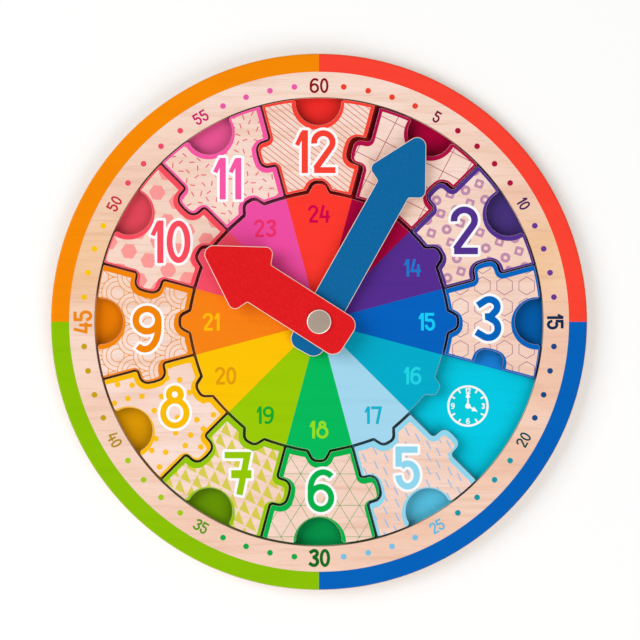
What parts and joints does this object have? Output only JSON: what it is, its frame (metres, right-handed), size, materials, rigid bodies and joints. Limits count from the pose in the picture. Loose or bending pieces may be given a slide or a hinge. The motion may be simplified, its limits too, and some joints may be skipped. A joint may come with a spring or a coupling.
{
  "type": "teaching clock",
  "caption": "Round wooden teaching clock lying face up: a framed tray of loose jigsaw hour pieces round a lobed dial disc, and a long and a short hand turning on one rivet.",
  "frame": {"origin": "middle of the flat back face, under the rivet", "axes": "+Z out of the dial, +Y towards the twelve o'clock piece, +X towards the three o'clock piece"},
  "size_m": [0.3, 0.3, 0.0236],
  "materials": {
    "bare_ply": "pale close-grained plywood, satin clear lacquer",
    "ring_face": "pale plywood with a painted rim in four colours and printed minute dots and numbers, satin lacquer",
    "dial_print": "plywood printed in twelve bright sectors, satin lacquer",
    "minute_paint": "blue paint on plywood, bare pale edges, satin",
    "hour_paint": "red paint on plywood, bare pale edges, satin",
    "rivet_steel": "satin steel with a bright rim",
    "washer_steel": "plain steel",
    "washer_fibre": "dark fibre, matt",
    "piece_12_print": "pale plywood printed with a red border, number and small repeated motif, satin lacquer",
    "piece_01_print": "pale plywood printed with a crimson border, number and small repeated motif, satin lacquer",
    "piece_02_print": "pale plywood printed with a purple border, number and small repeated motif, satin lacquer",
    "piece_03_print": "pale plywood printed with a blue border, number and small repeated motif, satin lacquer",
    "piece_05_print": "pale plywood printed with a light blue border, number and small repeated motif, satin lacquer",
    "piece_06_print": "pale plywood printed with a green border, number and small repeated motif, satin lacquer",
    "piece_07_print": "pale plywood printed with a lime border, number and small repeated motif, satin lacquer",
    "piece_08_print": "pale plywood printed with a yellow border, number and small repeated motif, satin lacquer",
    "piece_09_print": "pale plywood printed with a orange border, number and small repeated motif, satin lacquer",
    "piece_10_print": "pale plywood printed with a coral border, number and small repeated motif, satin lacquer",
    "piece_11_print": "pale plywood printed with a pink border, number and small repeated motif, satin lacquer"
  },
  "bodies": {
    "root": {"back_board": "bare_ply", "frame_ring": "ring_face", "hour_disc": "dial_print", "centre_rivet": "rivet_steel", "lower_washer": "washer_fibre", "middle_washer": "washer_fibre", "rear_washer": "washer_steel"},
    "minute_hand": {"minute_hand": "minute_paint"},
    "hour_hand": {"hour_hand": "hour_paint"},
    "piece_12": {"piece_12": "piece_12_print"},
    "piece_01": {"piece_01": "piece_01_print"},
    "piece_02": {"piece_02": "piece_02_print"},
    "piece_03": {"piece_03": "piece_03_print"},
    "piece_05": {"piece_05": "piece_05_print"},
    "piece_06": {"piece_06": "piece_06_print"},
    "piece_07": {"piece_07": "piece_07_print"},
    "piece_08": {"piece_08": "piece_08_print"},
    "piece_09": {"piece_09": "piece_09_print"},
    "piece_10": {"piece_10": "piece_10_print"},
    "piece_11": {"piece_11": "piece_11_print"}
  },
  "joints": [
    {"name": "minute_hand_turn", "type": "hinge", "parent": "root", "child": "minute_hand", "pos_m": [0, 0, 0.0141], "axis": [0, 0, -1], "continuous": true},
    {"name": "hour_hand_turn", "type": "hinge", "parent": "root", "child": "hour_hand", "pos_m": [0, 0, 0.0195], "axis": [0, 0, -1], "continuous": true},
    {"name": "piece_12_lift", "type": "slide", "parent": "root", "child": "piece_12", "axis": [0, 0, 1], "range_m": [0, 0.025]},
    {"name": "piece_01_lift", "type": "slide", "parent": "root", "child": "piece_01", "axis": [0, 0, 1], "range_m": [0, 0.0015]},
    {"name": "piece_02_lift", "type": "slide", "parent": "root", "child": "piece_02", "axis": [0, 0, 1], "range_m": [0, 0.025]},
    {"name": "piece_03_lift", "type": "slide", "parent": "root", "child": "piece_03", "axis": [0, 0, 1], "range_m": [0, 0.025]},
    {"name": "piece_05_lift", "type": "slide", "parent": "root", "child": "piece_05", "axis": [0, 0, 1], "range_m": [0, 0.025]},
    {"name": "piece_06_lift", "type": "slide", "parent": "root", "child": "piece_06", "axis": [0, 0, 1], "range_m": [0, 0.025]},
    {"name": "piece_07_lift", "type": "slide", "parent": "root", "child": "piece_07", "axis": [0, 0, 1], "range_m": [0, 0.025]},
    {"name": "piece_08_lift", "type": "slide", "parent": "root", "child": "piece_08", "axis": [0, 0, 1], "range_m": [0, 0.025]},
    {"name": "piece_09_lift", "type": "slide", "parent": "root", "child": "piece_09", "axis": [0, 0, 1], "range_m": [0, 0.025]},
    {"name": "piece_10_lift", "type": "slide", "parent": "root", "child": "piece_10", "axis": [0, 0, 1], "range_m": [0, 0.025]},
    {"name": "piece_11_lift", "type": "slide", "parent": "root", "child": "piece_11", "axis": [0, 0, 1], "range_m": [0, 0.025]}
  ]
}
